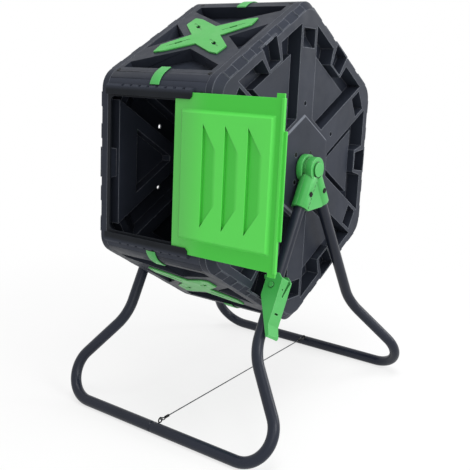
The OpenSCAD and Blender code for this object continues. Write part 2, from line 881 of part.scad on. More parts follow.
module outer_bracket() {
    difference() {
        intersection() {
            bracket_body();
            translate([leg_x + seat_gap, -drum_r, -drum_r]) cube(2 * drum_r);
        }
        bracket_bores();
        rotate([-leg_lean, 0, 0]) for (i = [0 : dash_count - 1])
            translate([bracket_flat, dash_y, -dash_top - dash_pitch * i])
                cube([2 * dash_t, 2.4, dash_len], center = true);
    }
}

// Flanged bush in the bracket, which the axle turns in
module bush() {
    difference() {
        union() {
            about_x(bracket_in - seat_gap, axle_end, bush_r);
            about_x(hub_face + 2 * seat_gap, hub_face + 2 * seat_gap + flange_t, bush_r + 8);
        }
        about_x(0, 2 * leg_x, axle_d / 2 + run_gap);
    }
}

module axle_cap() {
    about_x(bracket_out + seat_gap, bracket_out + seat_gap + cap_t, cap_r);
    about_x(axle_end + 2 * seat_gap, bracket_out + cap_t / 2, bush_r);
}

module bracket_bolts() {
    head_x = leg_x + sleeve_r - bolt_head_t + 0.5 + seat_gap;
    for (side = [-1, 1])
        rotate([side * leg_lean, 0, 0]) translate([0, 0, -bolt_drop]) {
            about_x(head_x, head_x + bolt_head_t, bolt_head_d / 2);
            about_x(leg_x - sleeve_r - 0.5, head_x + 1, bolt_d / 2);
        }
}

module bracket_nuts() {
    nut_x = leg_x - sleeve_r + nut_t - 1 - seat_gap;
    for (side = [-1, 1])
        rotate([side * leg_lean, 0, 0]) translate([0, 0, -bolt_drop]) difference() {
            translate([nut_x - nut_t, 0, 0]) rotate([0, 90, 0])
                cylinder(r = bolt_d * 0.96, h = nut_t, $fn = 6);
            about_x(0, 2 * leg_x, bolt_d / 2 + 0.05);
        }
}

// A screw eye in the top of a ground tube
module cable_eye(side) {
    color(zinc) at_eye(side) {
        translate([0, 0, eye_out]) rotate([0, 90, 0]) rotate_extrude() translate([eye_r, 0])
            circle(d = eye_wire);
        translate([0, 0, 4]) cylinder(d = eye_wire, h = eye_out - eye_r - 4);
    }
}

// A straight cable with a loop at each end
module spreader_cable() {
    run = loop_y - loop_r;
    color(wire_grey) translate([0, 0, cable_z]) {
        translate([0, run, 0]) rotate([90, 0, 0]) cylinder(d = cable_d, h = 2 * run);
        for (side = [-1, 1])
            translate([0, side * loop_y, 0]) rotate_extrude($fn = 48) translate([loop_r, 0])
                circle(d = cable_d);
    }
}

module cable_ferrules() {
    start = loop_y - loop_r - cable_d - 0.5;
    color(zinc) for (side = [-1, 1])
        mirror([0, side < 0 ? 1 : 0, 0]) translate([0, start, cable_z]) rotate([90, 0, 0]) difference() {
            cylinder(d = 2.4 * cable_d, h = ferrule_len);
            translate([0, 0, -1]) cylinder(d = cable_d + 0.1, h = ferrule_len + 2);
        }
}

// Outline of the lever's cheeks, its pin at the origin: X across the leg, Y up the leg
module lever_outline() {
    back = lever_back + lever_wall;
    polygon([
        [3 - cheek_in, lever_up], [back - lever_round - 1, lever_up], [back, lever_up - lever_round],
        [back, -handle_start], [back + handle_kick, 6 - lever_down], [back + handle_kick - 2, -lever_down],
        [back + handle_kick - 6, -lever_down], [-3, -cheek_knee - 30], [-cheek_in, -cheek_knee],
        [-cheek_in, lever_up - 3]
    ]);
}

module lever_inside() {
    far = 2 * lever_down;
    polygon([
        [-far, far], [lever_back, far], [lever_back, -handle_start],
        [lever_back + handle_kick, 2 - lever_down], [lever_back + handle_kick, -far], [-far, -far]
    ]);
}

// The catch that enters the pockets of the drum's rim
module lever_nose() {
    polygon([
        [-nose_reach, nose_up], [2 - tube_r - 3, nose_up], [2 - tube_r - 3, nose_up - nose_len],
        [2 - nose_reach, nose_up - nose_len], [-nose_reach, nose_up - 3]
    ]);
}

// Extrudes an outline in the leg's plane from y0 to y1, the lever's pin at its origin
module across_leg(y0, y1) {
    translate([leg_x, y1, -pin_drop]) rotate([90, 0, 0]) linear_extrude(y1 - y0) children();
}

// Cuts through the lever's back, its outline given behind and above the pin
module back_cut() {
    translate([leg_x, 0, -pin_drop]) rotate([90, 0, 90]) linear_extrude(2 * tube_d) children();
}

module brake_lever() {
    front = -lever_front - lever_wall;
    rear = lever_rear + lever_wall;
    color(lime) in_leg(-1) difference() {
        union() {
            difference() {
                across_leg(front, rear) lever_outline();
                across_leg(-lever_front, lever_rear) lever_inside();
            }
            across_leg(-lever_front - lever_wall / 2, nose_w - lever_front) lever_nose();
        }
        translate([leg_x, 0, -pin_drop]) rotate([90, 0, 0])
            cylinder(r = pin_d / 2 + run_gap, h = 4 * rear, center = true);
        back_cut() {
            translate([lever_rear - 7, 14]) circle(6);
            translate([lever_rear - 18, -17]) circle(3);
            polygon([
                [lever_rear - 13, 14], [lever_rear - 1, 14], [lever_rear - 15, -17],
                [lever_rear - 21, -17]
            ]);
        }
        back_cut() translate([-2, -4]) circle(2.5);
        back_cut() translate([-4, -59]) square([14, 4]);
    }
}

module lever_pin() {
    front = -lever_front - lever_wall - 0.5;
    color(zinc) in_leg(-1) translate([leg_x, 0, -pin_drop]) rotate([-90, 0, 0]) {
        translate([0, 0, front]) cylinder(d = pin_d, h = lever_rear + lever_wall + 4 - front);
        translate([0, 0, front - 2.3]) cylinder(d = pin_d + 5, h = 2.4);
    }
}

module lever_pin_clip() {
    color(zinc) in_leg(-1) translate([leg_x, lever_rear + lever_wall + 0.4, -pin_drop])
        rotate([-90, 0, 0]) difference() {
            cylinder(d = pin_d + 5, h = 1.2);
            translate([0, 0, -1]) cylinder(d = pin_d + 0.1, h = 4);
        }
}

module right_end_panel() {
    color(plastic) in_drum() end_panel();
}

module left_end_panel() {
    color(plastic) in_drum() mirror([1, 0, 0]) end_panel();
}

module top_front_panel() {
    cross_panel(top_front_face);
}

module top_rear_panel() {
    cross_panel(top_rear_face);
}

module rear_panel() {
    cross_panel(rear_face);
}

module bottom_rear_panel() {
    cross_panel(bottom_rear_face);
}

module bottom_front_panel() {
    cross_panel(bottom_front_face);
}

module top_cross_plate() {
    cross_plate(top_front_face);
}

module bottom_cross_plate() {
    cross_plate(bottom_front_face);
}

module upper_door_rail() {
    door_rail(1);
}

module lower_door_rail() {
    door_rail(-1);
}

module right_panel_screws() {
    color(zinc) in_drum() panel_screws(1);
}

module left_panel_screws() {
    color(zinc) in_drum() panel_screws(-1);
}

module right_axle() {
    color(zinc) in_drum() axle();
}

module left_axle() {
    color(zinc) in_drum() mirror([1, 0, 0]) axle();
}

module right_axle_screws() {
    color(zinc) in_drum() axle_screws();
}

module left_axle_screws() {
    color(zinc) in_drum() mirror([1, 0, 0]) axle_screws();
}

module front_right_tube() {
    right_tube(-1);
}

module front_left_tube() {
    left_tube(-1);
}

module rear_right_tube() {
    right_tube(1);
}

module rear_left_tube() {
    left_tube(1);
}

module right_inner_bracket() {
    color(lime) at_axle() inner_bracket();
}

module right_outer_bracket() {
    color(lime) at_axle() outer_bracket();
}

module left_inner_bracket() {
    color(lime) at_axle() mirror([1, 0, 0]) inner_bracket();
}

module left_outer_bracket() {
    color(lime) at_axle() mirror([1, 0, 0]) outer_bracket();
}

module right_bush() {
    color(acetal) at_axle() bush();
}

module left_bush() {
    color(acetal) at_axle() mirror([1, 0, 0]) bush();
}

module right_axle_cap() {
    color(pale_lime) at_axle() axle_cap();
}

module left_axle_cap() {
    color(pale_lime) at_axle() mirror([1, 0, 0]) axle_cap();
}

module right_bracket_bolts() {
    color(zinc) at_axle() bracket_bolts();
}

module left_bracket_bolts() {
    color(zinc) at_axle() mirror([1, 0, 0]) bracket_bolts();
}

module right_bracket_nuts() {
    color(zinc) at_axle() bracket_nuts();
}

module left_bracket_nuts() {
    color(zinc) at_axle() mirror([1, 0, 0]) bracket_nuts();
}

module front_cable_eye() {
    cable_eye(-1);
}

module rear_cable_eye() {
    cable_eye(1);
}

right_end_panel();
left_end_panel();
front_panel();
top_front_panel();
top_rear_panel();
rear_panel();
bottom_rear_panel();
bottom_front_panel();
top_cross_plate();
bottom_cross_plate();
corner_clips();
upper_door_rail();
lower_door_rail();
rail_screws();
right_panel_screws();
left_panel_screws();
right_axle();
left_axle();
right_axle_screws();
left_axle_screws();
sliding_door();
front_right_tube();
front_left_tube();
rear_right_tube();
rear_left_tube();
right_inner_bracket();
right_outer_bracket();
left_inner_bracket();
left_outer_bracket();
right_bush();
left_bush();
right_axle_cap();
left_axle_cap();
right_bracket_bolts();
left_bracket_bolts();
right_bracket_nuts();
left_bracket_nuts();
spreader_cable();
cable_ferrules();
front_cable_eye();
rear_cable_eye();
lever_pin();
lever_pin_clip();
brake_lever();
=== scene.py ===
import json
import math

import bpy
from mathutils import Matrix, Vector


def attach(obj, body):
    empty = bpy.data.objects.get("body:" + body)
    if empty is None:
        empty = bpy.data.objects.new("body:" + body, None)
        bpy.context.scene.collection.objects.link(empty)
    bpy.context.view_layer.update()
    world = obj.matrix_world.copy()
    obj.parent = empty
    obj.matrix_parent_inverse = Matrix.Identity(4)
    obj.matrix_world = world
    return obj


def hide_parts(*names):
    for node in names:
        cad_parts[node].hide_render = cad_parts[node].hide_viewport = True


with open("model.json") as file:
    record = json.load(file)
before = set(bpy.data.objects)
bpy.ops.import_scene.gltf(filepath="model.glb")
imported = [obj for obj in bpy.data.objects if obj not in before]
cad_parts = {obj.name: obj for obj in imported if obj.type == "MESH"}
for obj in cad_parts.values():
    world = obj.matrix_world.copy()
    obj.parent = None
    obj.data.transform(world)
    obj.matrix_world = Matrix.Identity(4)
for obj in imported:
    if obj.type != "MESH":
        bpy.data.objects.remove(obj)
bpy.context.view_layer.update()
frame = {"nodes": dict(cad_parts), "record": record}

MM = 0.001

# The middle of the drum's axle, and the photograph's camera, placed from it
AXLE = Vector((0, 0, 565.7 * MM))
CAMERA_PLACE = Vector((1016.7, -1406.3, 271.2)) * MM
CAMERA_AZIMUTH = math.radians(36.46)
CAMERA_ELEVATION = math.radians(14.56)
CAMERA_ROLL = math.radians(0.56)
FOCAL_PIXELS = 750
PICTURE_PIXELS = 470
SENSOR_MM = 36.0

# How far the camera sees, past the far edge of the floor
CAMERA_REACH = 60

# The door's outward direction, and how far out along it its flat margins and raised field lie
DOOR_OUTWARD = (0, -0.99813, 0.06105)
DOOR_MARGIN = 351.3 * MM
DOOR_FIELD = 357.3 * MM

# How far below the field's level a wedge's floor gets the painted shade of a sunken floor, from
# fully to not at all
WEDGE_SINK = (1.2 * MM, 0.1 * MM)

# The wedges' middle and half size across the door and up it
DOOR_UPWARD = (0, 0.06105, 0.99813)
WEDGES_X = (202.5 * MM, 69.5 * MM)
WEDGES_V = (566.6 * MM, 100 * MM)

# Where, across the door, the painted shade of the dark drum behind it begins, and is full
DRUM_BEHIND = (150 * MM, 75 * MM)

# The front panel's middle up its face, and where its rounded lips begin and are full, over which
# its painted shade gives way to a paler grey
FRONT_MIDDLE = 564.6 * MM
FRONT_LIP = (152 * MM, 162 * MM)

# The painted highlight on the hub's bevel: how far from the axle the bevel reaches, its outward
# normal's share along the axle, and how far from that share a face may be
HUB_REACH = 124 * MM
HUB_BEVEL_SLANT = 0.78
SLANT_SPREAD = 0.12

# The level of the noise at which a finish has only its first colour, and only its second
DRIFT = (0.35, 0.65)

# The cosine between an edge's rounded normal and its face's where the painted edge tone begins
# and is full: a painted highlight where the tone is paler, painted shade where it is darker
PAINTED_EDGE_COSINES = (0.99, 0.8)

# The share of open air at which painted shade begins to darken a seam or inner corner, and at
# which it is darkest; the green mouldings, with their narrow slits, darken sooner
SEAM_AIR = (0.75, 0.25)
SLIT_AIR = (0.88, 0.55)

# How far into a seam the painted shade reaches, and how strong it is where it is darkest
SEAM_REACH_MM = 4
SEAM_SHARE = 0.95

# Where the melt flowed, a moulding's colour drifts slowly and its sheen more finely: its roughness
# falls and rises by this much, between these levels of the noise
FLOW_DRIFT_MM = 90
FLOW_CLOUD_MM = 25
SHINIER = 0.05
DULLER = 0.07
FLOW_LEVELS = (0.3, 0.7)

# How strongly the plastics and the baked coat bend light
PLASTIC_IOR = 1.49
COAT_IOR = 1.5

# The grain of the drum's mouldings and of the smooth green ones. Real spark-eroded grain is a
# few tenths of a millimetre wide, so both are drawn several times as coarse, to show at all.
SLATE_GRAIN = {"grain_mm": 1.6, "grain_depth_mm": 0.12}
GREEN_GRAIN = {"grain_mm": 1.8, "grain_depth_mm": 0.05}

# Rays that the Bevel and Ambient Occlusion nodes send from each point
EDGE_RAYS = 4

# The colour sockets of a Mix node, by number, because their names are not unique
MIX_FIRST, MIX_SECOND, MIX_COLOUR = 6, 7, 2

# The wire rope's bands, a painted highlight on its strands and painted shade between them. Its
# strands really cross it about every 3 mm, too fine to show at this size, so the bands are drawn
# 66 / 1.6 = 41 mm apart, because a wave texture repeats 1.6 times (10 / (2 pi)) in the spacing
# that its scale stands for.
ROPE_SPACING_MM = 66

# The faces of the drum with a pocketed panel, each by its angle up from the rear, the front's
# angle, and how far the photographed drum is turned, all in degrees
POCKETED_PANELS = {
    "rear_panel": 0, "top_rear_panel": 60, "top_front_panel": 120, "bottom_front_panel": 240,
    "bottom_rear_panel": 300,
}
FRONT_ANGLE = 180
DRUM_TILT = -3.5

# What lies less than this far out from the axle is a pocket's floor. It comes up from the solids'
# 48 mm, and the ends of it beside the seams go outward with the slope of the pockets' sides.
FLOOR_BELOW = 275 * MM
FLOOR_LIFT = 21 * MM
FLOOR_SIDE = 75 * MM
SIDE_DRAFT = 0.27

# The rounding of the pocketed panels' edges and of each other moulded piece's, in millimetres
PANEL_EDGE = 1.2
EDGE_RADII = {
    "top_cross_plate": 0.7, "bottom_cross_plate": 0.7, "corner_clips": 0.6,
    "upper_door_rail": 0.8, "lower_door_rail": 0.8, "sliding_door": 0.8,
    "right_inner_bracket": 0.7, "right_outer_bracket": 0.7, "left_inner_bracket": 0.7,
    "left_outer_bracket": 0.7, "right_axle_cap": 0.8, "left_axle_cap": 0.8,
    "brake_lever": 0.6, "lever_pin": 0.4,
}

# A rounding's segments, the angle from which an edge counts as sharp, and the gap that is closed
# first, so that faces share their edges
EDGE_SEGMENTS = 2
SHARP_ANGLE = math.radians(32)
WELD_GAP = 0.01 * MM

# The floor's half size, the distances from its middle between which the soft shadow gives way to
# plain white, how much of it is glow under the object, and how bright the room is without lamps
FLOOR_REACH = 12.0
SHADOW_REACH = (0.45, 1.5)
SHADOW_GLOW = 0.72
ROOM_LIGHT = 0.55

# Each lamp's place, the point that it faces and its width in metres, and its power in watts
LAMPS = {
    "key_lamp": ((3.6, -0.6, 2.2), (0, 0, 0.5), 1.4, 52),
    "front_lamp": ((2.6, -2.8, 1.6), (0, 0, 0.5), 2.0, 20),
    "top_lamp": ((0.5, -0.4, 3.4), (0, 0, 0.6), 1.6, 46),
    "rim_lamp": ((2.6, 2.9, 1.7), (0, 0, 0.6), 1.6, 50),
}


def linear(code):
    """An sRGB hex colour as linear red, green, blue and alpha."""
    channels = [int(code[i:i + 2], 16) / 255 for i in (1, 3, 5)]
    values = [c / 12.92 if c <= 0.04045 else ((c + 0.055) / 1.055) ** 2.4 for c in channels]
    return (*values, 1.0)


def per_metre(spacing_mm):
    """The texture scale that repeats once in so many millimetres."""
    return 1000 / spacing_mm


def add(tree, kind, settings=None, inputs=None):
    """Adds a node, with its settings, its input values and the sockets that feed it."""
    node = tree.nodes.new(kind)
    for name, value in (settings or {}).items():
        setattr(node, name, value)
    for name, value in (inputs or {}).items():
        if isinstance(value, bpy.types.NodeSocket):
            tree.links.new(value, node.inputs[name])
        else:
            node.inputs[name].default_value = value
    return node


def new_material(name):
    """An empty node material, with the tree and the shader to work on."""
    material = bpy.data.materials.new(name)
    material.use_nodes = True
    tree = material.node_tree
    return material, tree, tree.nodes["Principled BSDF"]


def two_tone(tree, place, low, high, spacing_mm):
    """A slow drift between two colours, for moulded and coated surfaces."""
    noise = add(tree, "ShaderNodeTexNoise", None,
                {"Vector": place, "Scale": per_metre(spacing_mm), "Detail": 4.0})
    ramp = add(tree, "ShaderNodeValToRGB", None, {"Fac": noise.outputs["Fac"]})
    for stop, level, colour in zip(ramp.color_ramp.elements, DRIFT, (low, high)):
        stop.position = level
        stop.color = linear(colour)
    return ramp.outputs["Color"]


def cloudy_roughness(tree, shader, place, low, high, spacing_mm, detail=3.0, levels=(0, 1)):
    """Roughness that drifts between two values as the noise goes between two levels."""
    cloud = add(tree, "ShaderNodeTexNoise", None,
                {"Vector": place, "Scale": per_metre(spacing_mm), "Detail": detail})
    rough = add(tree, "ShaderNodeMapRange", None,
                {"Value": cloud.outputs["Fac"], "From Min": levels[0], "From Max": levels[1],
                 "To Min": low, "To Max": high})
    tree.links.new(rough.outputs["Result"], shader.inputs["Roughness"])


def painted_edge_tone(tree, colour, edge_tone, width_mm, share):
    """Paints a narrow band along the sharp edges toward another tone: a painted highlight where it
    is paler, painted shade where it is darker.
    """
    rounded = add(tree, "ShaderNodeBevel", {"samples": EDGE_RAYS}, {"Radius": width_mm * MM})
    face = add(tree, "ShaderNodeNewGeometry")
    flat = add(tree, "ShaderNodeVectorMath", {"operation": "DOT_PRODUCT"},
               {0: rounded.outputs["Normal"], 1: face.outputs["Normal"]})
    edge = add(tree, "ShaderNodeMapRange", {"clamp": True},
               {"Value": flat.outputs["Value"], "From Min": PAINTED_EDGE_COSINES[0], "From Max": PAINTED_EDGE_COSINES[1],
                "To Min": 0.0, "To Max": share})
    mix = add(tree, "ShaderNodeMix", {"data_type": "RGBA"},
              {"Factor": edge.outputs["Result"], MIX_FIRST: colour, MIX_SECOND: linear(edge_tone)})
    return mix.outputs[MIX_COLOUR]


def painted_crevice_shade(tree, colour, dark, reach_mm, share, air=SEAM_AIR):
    """Darkens narrow gaps and inner corners with painted shade, by how little open air they see.
    """
    open_air = add(tree, "ShaderNodeAmbientOcclusion", {"samples": EDGE_RAYS},
                   {"Distance": reach_mm * MM})
    shut_in = add(tree, "ShaderNodeMapRange", {"clamp": True},
                  {"Value": open_air.outputs["AO"], "From Min": air[0], "From Max": air[1],
                   "To Min": 0.0, "To Max": share})
    mix = add(tree, "ShaderNodeMix", {"data_type": "RGBA"},
              {"Factor": shut_in.outputs["Result"], MIX_FIRST: colour, MIX_SECOND: linear(dark)})
    return mix.outputs[MIX_COLOUR]


def toned_where(tree, mask, tone, share):
    """Shifts a finished base colour toward another tone where a mask is 1."""
    base = tree.nodes["Principled BSDF"].inputs["Base Color"]
    amount = add(tree, "ShaderNodeMath", {"operation": "MULTIPLY"}, {0: mask, 1: share})
    mix = add(tree, "ShaderNodeMix", {"data_type": "RGBA"},
              {"Factor": amount.outputs["Value"], MIX_FIRST: base.links[0].from_socket,
               MIX_SECOND: linear(tone)})
    tree.links.new(mix.outputs[MIX_COLOUR], base)


def moulded_plastic(name, low, high, edge, seam, *, roughness, gloss, grain_mm, grain_depth_mm,
                    edge_mm, edge_share=0.5, air=SEAM_AIR):
    """A plastic, moulded unless its own comment says otherwise: an even colour under a fine
    grain that breaks the highlights up, a little cloudiness where the melt flowed, rounded edges
    that catch the light, a painted edge tone along them, and painted shade in its seams and inner
    corners."""
    material, tree, shader = new_material(name)
    place = add(tree, "ShaderNodeTexCoord").outputs["Object"]
    colour = two_tone(tree, place, low, high, FLOW_DRIFT_MM)
    # Painted light: a painted highlight or shade along the edges, then painted shade in the
    # crevices
    colour = painted_edge_tone(tree, colour, edge, 2 * edge_mm, edge_share)
    colour = painted_crevice_shade(tree, colour, seam, SEAM_REACH_MM, SEAM_SHARE, air)
    tree.links.new(colour, shader.inputs["Base Color"])
    cloudy_roughness(tree, shader, place, roughness - SHINIER, roughness + DULLER,
                     FLOW_CLOUD_MM, levels=FLOW_LEVELS)
    grain = add(tree, "ShaderNodeTexNoise", None,
                {"Vector": place, "Scale": per_metre(grain_mm), "Detail": 2.0,
                 "Roughness": 0.6})
    rounded = add(tree, "ShaderNodeBevel", {"samples": EDGE_RAYS}, {"Radius": edge_mm * MM})
    bump = add(tree, "ShaderNodeBump", None,
               {"Strength": 0.5, "Distance": grain_depth_mm * MM,
                "Height": grain.outputs["Fac"], "Normal": rounded.outputs["Normal"]})
    tree.links.new(bump.outputs["Normal"], shader.inputs["Normal"])
    shader.inputs["IOR"].default_value = PLASTIC_IOR
    shader.inputs["Specular IOR Level"].default_value = gloss
    return material


def slate_plastic():
    """Recycled slate-grey polypropylene, injection-moulded: matt, a fine spark-eroded grain, its
    edges painted a little darker than its faces, as shade."""
    return moulded_plastic("moulded_slate_polypropylene", "#232730", "#292d37", "#0e1013",
                           "#07080a", roughness=0.46, gloss=0.17, edge_mm=0.9, edge_share=0.6,
                           **SLATE_GRAIN)


def ribbed_slate():
    """The same plastic on the end panels, with a painted highlight on its rib edges and on the
    hub's sloped bevel faces.
    """
    material = moulded_plastic("moulded_slate_polypropylene_painted_highlights", "#252932", "#2b2f39",
                               "#8d929b", "#07080a", roughness=0.46, gloss=0.14, edge_mm=1.5,
                               edge_share=0.6, **SLATE_GRAIN)
    tree = material.node_tree
    place = add(tree, "ShaderNodeTexCoord").outputs["Object"]
    from_axle = add(tree, "ShaderNodeVectorMath", {"operation": "SUBTRACT"},
                    {0: place, 1: AXLE})
    in_face = add(tree, "ShaderNodeVectorMath", {"operation": "MULTIPLY"},
                  {0: from_axle.outputs["Vector"], 1: (0, 1, 1)})
    radius = add(tree, "ShaderNodeVectorMath", {"operation": "LENGTH"},
                 {0: in_face.outputs["Vector"]})
    near_hub = add(tree, "ShaderNodeMath", {"operation": "LESS_THAN"},
                   {0: radius.outputs["Value"], 1: HUB_REACH})
    face = add(tree, "ShaderNodeNewGeometry")
    facing = add(tree, "ShaderNodeSeparateXYZ", None, {"Vector": face.outputs["True Normal"]})
    slant = add(tree, "ShaderNodeMath", {"operation": "ABSOLUTE"}, {0: facing.outputs["X"]})
    sloped = add(tree, "ShaderNodeMath", {"operation": "COMPARE"},
                 {0: slant.outputs["Value"], 1: HUB_BEVEL_SLANT, 2: SLANT_SPREAD})
    painted_hub_highlight = add(tree, "ShaderNodeMath", {"operation": "MULTIPLY"},
                {0: near_hub.outputs["Value"], 1: sloped.outputs["Value"]})
    # A painted highlight on the hub's sloped bevel faces, as where they face the light
    toned_where(tree, painted_hub_highlight.outputs["Value"], "#6c7079", share=0.9)
    return material


def front_slate():
    """The plastic on the front panel and its rails, painted darker as shade and duller from
    wiping, its edges painted paler as a highlight, and painted back to a paler grey on the rounded
    lips above and below, a painted highlight where they turn toward the light."""
    # Darker colours than the other slate, as painted shade
    material = moulded_plastic("moulded_slate_polypropylene_painted_shade", "#14171b", "#191c21",
                               "#3c4047", "#050506", roughness=0.52, gloss=0.12, edge_mm=0.9,
                               **SLATE_GRAIN)
    tree = material.node_tree
    place = add(tree, "ShaderNodeTexCoord").outputs["Object"]
    along = add(tree, "ShaderNodeVectorMath", {"operation": "DOT_PRODUCT"},
                {0: place, 1: DOOR_UPWARD})
    off_middle = add(tree, "ShaderNodeMath", {"operation": "SUBTRACT"},
                     {0: along.outputs["Value"], 1: FRONT_MIDDLE})
    distance = add(tree, "ShaderNodeMath", {"operation": "ABSOLUTE"},
                   {0: off_middle.outputs["Value"]})
    lip = add(tree, "ShaderNodeMapRange", {"interpolation_type": "SMOOTHSTEP"},
              {"Value": distance.outputs["Value"], "From Min": FRONT_LIP[0],
               "From Max": FRONT_LIP[1]})
    # The rounded lips painted paler, a painted highlight
    toned_where(tree, lip.outputs["Result"], "#31353f", share=1.0)
    return material


def green_plastic(name="moulded_green_polypropylene"):
    """Bright green polypropylene, smoother than the drum, with a soft gloss."""
    return moulded_plastic(name, "#3c9f48", "#45a651", "#8fd896", "#031205", roughness=0.4,
                           gloss=0.4, edge_mm=1.2, air=SLIT_AIR, **GREEN_GRAIN)


def door_plastic():
    """The door's thin green polypropylene lets some light through, and that light and shade are
    painted
    into its colour: the raised field paler than the flat margins, the sunken wedges darker, and
    the edge over the dark drum duller, as painted shade of the drum behind."""
    material = green_plastic("pressed_green_polypropylene_painted_light")
    tree = material.node_tree
    shader = tree.nodes["Principled BSDF"]
    place = add(tree, "ShaderNodeTexCoord").outputs["Object"]
    height = add(tree, "ShaderNodeVectorMath", {"operation": "DOT_PRODUCT"},
                 {0: place, 1: DOOR_OUTWARD})
    raised = add(tree, "ShaderNodeMapRange", {"clamp": True},
                 {"Value": height.outputs["Value"], "From Min": DOOR_MARGIN,
                  "From Max": DOOR_FIELD})
    sunken = add(tree, "ShaderNodeMapRange", {"clamp": True},
                 {"Value": height.outputs["Value"], "From Min": DOOR_FIELD - WEDGE_SINK[0],
                  "From Max": DOOR_FIELD - WEDGE_SINK[1]})
    across = add(tree, "ShaderNodeSeparateXYZ", None, {"Vector": place})
    along = add(tree, "ShaderNodeVectorMath", {"operation": "DOT_PRODUCT"},
                {0: place, 1: DOOR_UPWARD})
    in_row = add(tree, "ShaderNodeMath", {"operation": "COMPARE"},
                 {0: across.outputs["X"], 1: WEDGES_X[0], 2: WEDGES_X[1]})
    in_height = add(tree, "ShaderNodeMath", {"operation": "COMPARE"},
                    {0: along.outputs["Value"], 1: WEDGES_V[0], 2: WEDGES_V[1]})
    in_wedges = add(tree, "ShaderNodeMath", {"operation": "MULTIPLY"},
                    {0: in_row.outputs["Value"], 1: in_height.outputs["Value"]})
    share = add(tree, "ShaderNodeMix", {"data_type": "FLOAT"},
                {0: in_wedges.outputs["Value"], 2: raised.outputs["Result"],
                 3: sunken.outputs["Result"]})
    # Painted light and shade: the raised field paler, the flat margins and sunken wedges darker
    tone = add(tree, "ShaderNodeValToRGB", None, {"Fac": share.outputs[0]})
    for stop, colour in zip(tone.color_ramp.elements, ("#3dbd38", "#55d24f")):
        stop.color = linear(colour)
    # Painted shade of the dark drum behind the door's edge
    over_drum = add(tree, "ShaderNodeMapRange", {"interpolation_type": "SMOOTHSTEP"},
                    {"Value": across.outputs["X"], "From Min": DRUM_BEHIND[0],
                     "From Max": DRUM_BEHIND[1]})
    drum_shade = add(tree, "ShaderNodeMix", {"data_type": "RGBA"},
                 {"Factor": over_drum.outputs["Result"], MIX_FIRST: tone.outputs["Color"],
                  MIX_SECOND: linear("#55ba50")})
    # A painted highlight along the edges and painted shade in the seams
    colour = painted_edge_tone(tree, drum_shade.outputs[MIX_COLOUR], "#8fe08a", width_mm=1.6, share=0.25)
    colour = painted_crevice_shade(tree, colour, "#0d300d", reach_mm=5, share=0.6)
    tree.links.new(colour, shader.inputs["Base Color"])
    return material


def pale_green_plastic():
    """The paler green of the cross plates, almost without grain."""
    return moulded_plastic("moulded_pale_green_polypropylene", "#46a44c", "#4eaa53", "#8fd491",
                           "#123a16", roughness=0.42, gloss=0.3, edge_mm=1.2, **GREEN_GRAIN)


def bush_plastic():
    """Natural acetal, turned smooth: waxy white with a low sheen. Its tool marks are far finer
    than the 1 mm grain that stands for them, which is as fine as can show."""
    return moulded_plastic("turned_natural_acetal", "#d6d4cc", "#dddbd4", "#efeee9", "#8a8780",
                           roughness=0.35, gloss=0.5, grain_mm=1.0, grain_depth_mm=0.02,
                           edge_mm=0.4)


def powder_coat():
    """Charcoal polyester powder coat baked on tube: a satin skin with a faint orange peel, its
    waves about 2 mm apart."""
    material, tree, shader = new_material("baked_charcoal_powder_coat")
    place = add(tree, "ShaderNodeTexCoord").outputs["Object"]
    colour = two_tone(tree, place, "#1a1e29", "#1f2430", spacing_mm=120)
    tree.links.new(colour, shader.inputs["Base Color"])
    peel = add(tree, "ShaderNodeTexNoise", None,
               {"Vector": place, "Scale": per_metre(2.2), "Detail": 1.0, "Roughness": 0.4})
    bump = add(tree, "ShaderNodeBump", None,
               {"Strength": 0.35, "Distance": 0.15 * MM, "Height": peel.outputs["Fac"]})
    tree.links.new(bump.outputs["Normal"], shader.inputs["Normal"])
    shader.inputs["Roughness"].default_value = 0.34
    shader.inputs["IOR"].default_value = COAT_IOR
    shader.inputs["Specular IOR Level"].default_value = 0.24
    return material


def black_zinc():
    """Steel fixings in black zinc: an almost black, slightly blue skin with little of the
    metal's own gleam, its edges painted a little paler, as a highlight."""
    material, tree, shader = new_material("black_passivated_steel")
    place = add(tree, "ShaderNodeTexCoord").outputs["Object"]
    colour = two_tone(tree, place, "#060708", "#0c0d0f", spacing_mm=5)
    colour = painted_edge_tone(tree, colour, "#3a3c40", width_mm=0.3, share=0.2)
    tree.links.new(colour, shader.inputs["Base Color"])
    cloudy_roughness(tree, shader, place, low=0.42, high=0.6, spacing_mm=2.5)
    shader.inputs["Metallic"].default_value = 0.3
    shader.inputs["Specular IOR Level"].default_value = 0.15
    return material


def zinc_plate():
    """Zinc plate dulled by weather: a cool dark metal with cloudy patches and a low sheen."""
    material, tree, shader = new_material("weathered_zinc_plate")
    place = add(tree, "ShaderNodeTexCoord").outputs["Object"]
    colour = two_tone(tree, place, "#5d6064", "#74767a", spacing_mm=4)
    tree.links.new(colour, shader.inputs["Base Color"])
    cloudy_roughness(tree, shader, place, low=0.24, high=0.42, spacing_mm=3, detail=4.0)
    shader.inputs["Metallic"].default_value = 1.0
    return material


